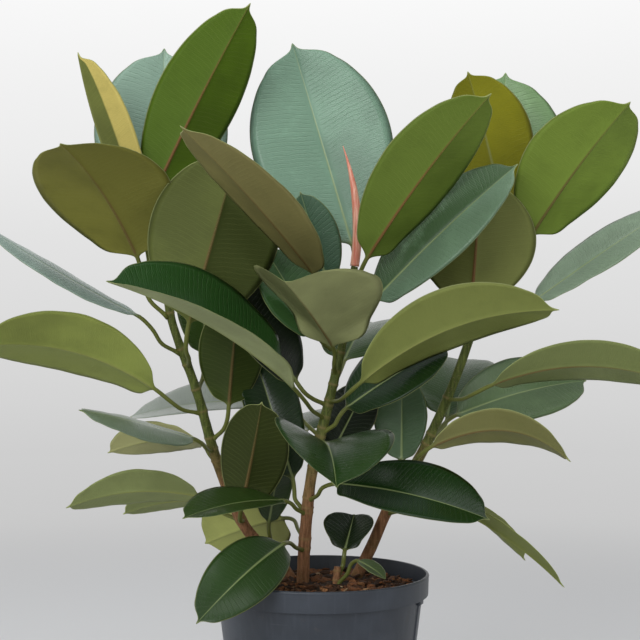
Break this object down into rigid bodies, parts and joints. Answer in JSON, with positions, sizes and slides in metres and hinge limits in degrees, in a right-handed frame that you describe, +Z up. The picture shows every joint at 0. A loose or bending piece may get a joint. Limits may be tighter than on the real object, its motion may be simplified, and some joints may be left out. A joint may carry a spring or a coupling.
{
  "type": "potted rubber plant",
  "caption": "Bushy rubber plant with broad leathery leaves on three leaning stems, growing from bark soil in a round nursery pot; stands on its flat base",
  "frame": {"origin": "centre of the pot's flat underside", "axes": "+Z up along the pot's axis, +X to the plant's right and +Y to its back as seen from the front"},
  "size_m": [0.6764, 0.3887, 0.7342],
  "materials": {
    "pot": "slate grey moulded plastic, satin",
    "soil": "damp bark and coir chips",
    "bark": "brown bark turning green upwards",
    "leaf": "glossy dark green above, matt olive beneath",
    "sheath": "smooth red bud sheath"
  },
  "bodies": {
    "root": {"pot": "pot", "soil": "soil", "stem_left": "bark", "stem_middle": "bark", "stem_right": "bark", "shoot_low": "bark", "sheath_middle": "sheath", "sheath_left": "sheath", "sheath_right": "sheath", "leaf_left_01": "leaf", "leaf_left_02": "leaf", "leaf_left_03": "leaf", "leaf_left_04": "leaf", "leaf_left_05": "leaf", "leaf_left_06": "leaf", "leaf_left_07": "leaf", "leaf_left_08": "leaf", "leaf_left_09": "leaf", "leaf_left_10": "leaf", "leaf_left_11": "leaf", "leaf_left_12": "leaf", "leaf_left_13": "leaf", "leaf_left_14": "leaf", "leaf_left_15": "leaf", "leaf_middle_01": "leaf", "leaf_middle_02": "leaf", "leaf_middle_03": "leaf", "leaf_middle_04": "leaf", "leaf_middle_05": "leaf", "leaf_middle_06": "leaf", "leaf_middle_07": "leaf", "leaf_middle_08": "leaf", "leaf_middle_09": "leaf", "leaf_middle_10": "leaf", "leaf_middle_11": "leaf", "leaf_middle_12": "leaf", "leaf_middle_13": "leaf", "leaf_middle_14": "leaf", "leaf_middle_15": "leaf", "leaf_middle_16": "leaf", "leaf_middle_17": "leaf", "leaf_middle_18": "leaf", "leaf_middle_19": "leaf", "leaf_middle_20": "leaf", "leaf_middle_21": "leaf", "leaf_right_01": "leaf", "leaf_right_02": "leaf", "leaf_right_03": "leaf", "leaf_right_04": "leaf", "leaf_right_05": "leaf", "leaf_right_06": "leaf", "leaf_right_07": "leaf", "leaf_right_08": "leaf", "leaf_right_09": "leaf", "leaf_right_10": "leaf", "leaf_right_11": "leaf", "leaf_right_12": "leaf", "leaf_low_01": "leaf", "leaf_low_02": "leaf"}
  },
  "joints": []
}
